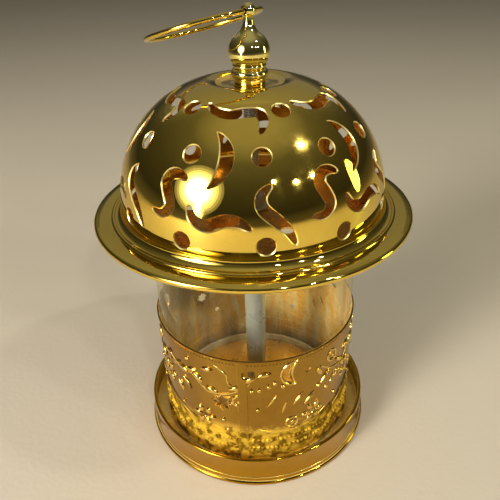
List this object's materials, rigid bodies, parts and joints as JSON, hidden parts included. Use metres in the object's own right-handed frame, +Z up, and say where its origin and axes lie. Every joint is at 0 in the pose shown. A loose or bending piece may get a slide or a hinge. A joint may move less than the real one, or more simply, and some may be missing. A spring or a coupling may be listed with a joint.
{
  "type": "ramadan fanous lantern",
  "caption": "Gold lantern: pierced onion-topped dome with a flared brim, glass cylinder in an ornamented band, shallow round tray, hanging ring.",
  "frame": {"origin": "middle of the foot, on the table", "axes": "+Z up the tie rod, the band's seam and the pictured front towards -Y"},
  "size_m": [0.14, 0.14, 0.2036],
  "materials": {
    "gold": "polished gold plating",
    "band": "stamped gold sheet",
    "silver": "zinc plated",
    "sleeve": "bright chrome tube",
    "gasket": "clear silicone, matt",
    "glass": "clear"
  },
  "bodies": {
    "lantern": {"base_tray": "gold", "lower_gasket": "gasket", "glass_cylinder": "glass", "ornament_band": "band", "upper_gasket": "gasket", "top_plate": "gold", "tie_rod": "silver", "sleeve_tube": "sleeve", "lower_ferrule": "sleeve", "upper_ferrule": "sleeve", "bottom_washer": "silver", "bottom_nut": "silver", "plate_washer": "silver", "plate_nut": "silver", "dome_washer": "silver", "dome_nut": "silver"},
    "dome": {"dome_shell": "gold"},
    "finial": {"finial_collar": "gold", "finial_bulb": "gold", "finial_knob": "gold"},
    "ring": {"hanging_ring": "gold"}
  },
  "joints": [
    {"name": "dome_lift", "type": "slide", "parent": "lantern", "child": "dome", "axis": [0, 0, 1], "range_m": [0, 0.06]},
    {"name": "finial_turn", "type": "hinge", "parent": "dome", "child": "finial", "pos_m": [0, 0, 0.17376], "axis": [0, 0, 1], "continuous": true},
    {"name": "ring_swing", "type": "hinge", "parent": "finial", "child": "ring", "pos_m": [0, 0, 0.20066], "axis": [0.6157, 0.788, 0], "range_deg": [-20, 232]}
  ]
}
